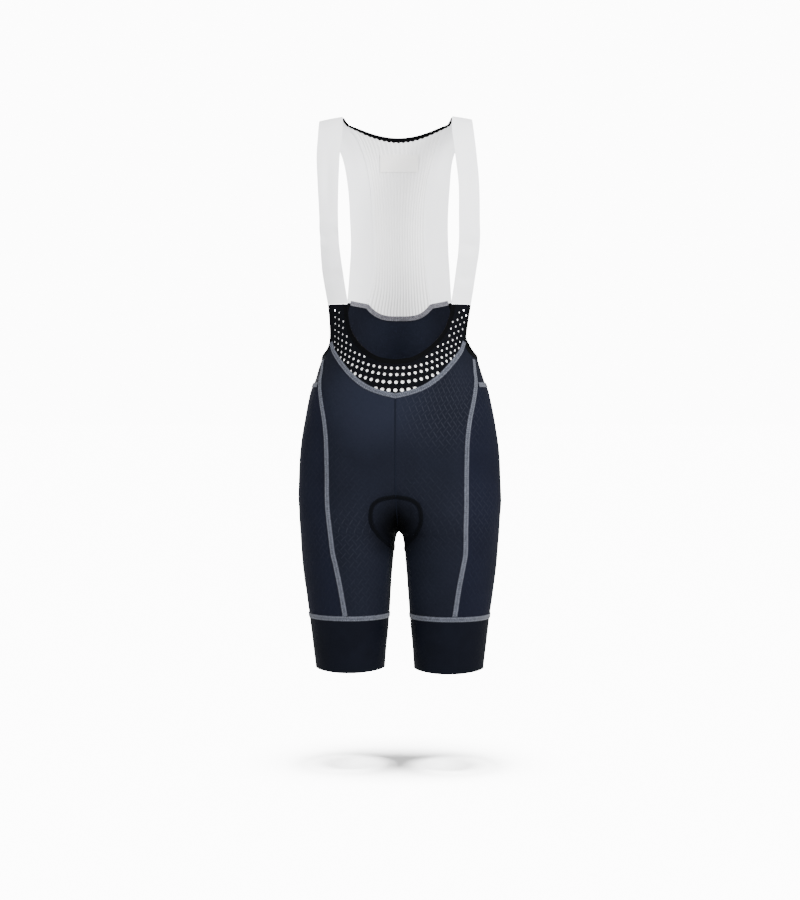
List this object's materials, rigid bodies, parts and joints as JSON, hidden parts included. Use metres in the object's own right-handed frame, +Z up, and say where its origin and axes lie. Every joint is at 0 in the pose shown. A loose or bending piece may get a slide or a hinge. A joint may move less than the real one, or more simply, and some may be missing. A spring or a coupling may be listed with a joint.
{
  "type": "cycling bib shorts",
  "caption": "Hollow worn cycling bib shorts: two shoulder straps, ribbed back, perforated front waist, panelled legs, seat pad and leg grippers.",
  "frame": {"origin": "between the two straps at the height where the wearer's shoulders carry them", "axes": "+Z up, front towards -Y, +X to the viewer's right when seen from the front"},
  "size_m": [0.3376, 0.2121, 0.9239],
  "materials": {
    "white_mesh": "matte stretch mesh",
    "white_rib": "matte ribbed knit",
    "label": "smooth woven label, blank",
    "black_elastic": "matte folded elastic",
    "black_mesh": "matte perforated knit",
    "grip_band": "matte grip band",
    "navy_stretch": "semi-matte stretch knit",
    "grey_seam": "flat overlocked thread",
    "pad": "brushed foam pad",
    "pad_outline": "matte bonded edge"
  },
  "bodies": {
    "root": {"strap_left": "white_mesh", "strap_right": "white_mesh", "waist_lining": "white_mesh", "back_rib": "white_rib", "neck_label": "label", "neck_binding": "black_elastic", "waist_band": "black_elastic", "armhole_binding_left": "black_elastic", "armhole_binding_right": "black_elastic", "waist_front": "black_mesh", "cuff_left": "grip_band", "cuff_right": "grip_band", "front_left": "navy_stretch", "front_right": "navy_stretch", "side_left": "navy_stretch", "side_right": "navy_stretch", "back_left": "navy_stretch", "back_right": "navy_stretch", "back_yoke": "navy_stretch", "seam_u": "grey_seam", "seam_yoke": "grey_seam", "seam_back_top": "grey_seam", "seam_back_top_inner": "grey_seam", "seam_side_front_left": "grey_seam", "seam_side_front_right": "grey_seam", "seam_side_back_left": "grey_seam", "seam_side_back_right": "grey_seam", "seam_cuff_left": "grey_seam", "seam_cuff_right": "grey_seam", "pad": "pad", "pad_outline_left": "pad_outline", "pad_outline_right": "pad_outline"}
  },
  "joints": []
}
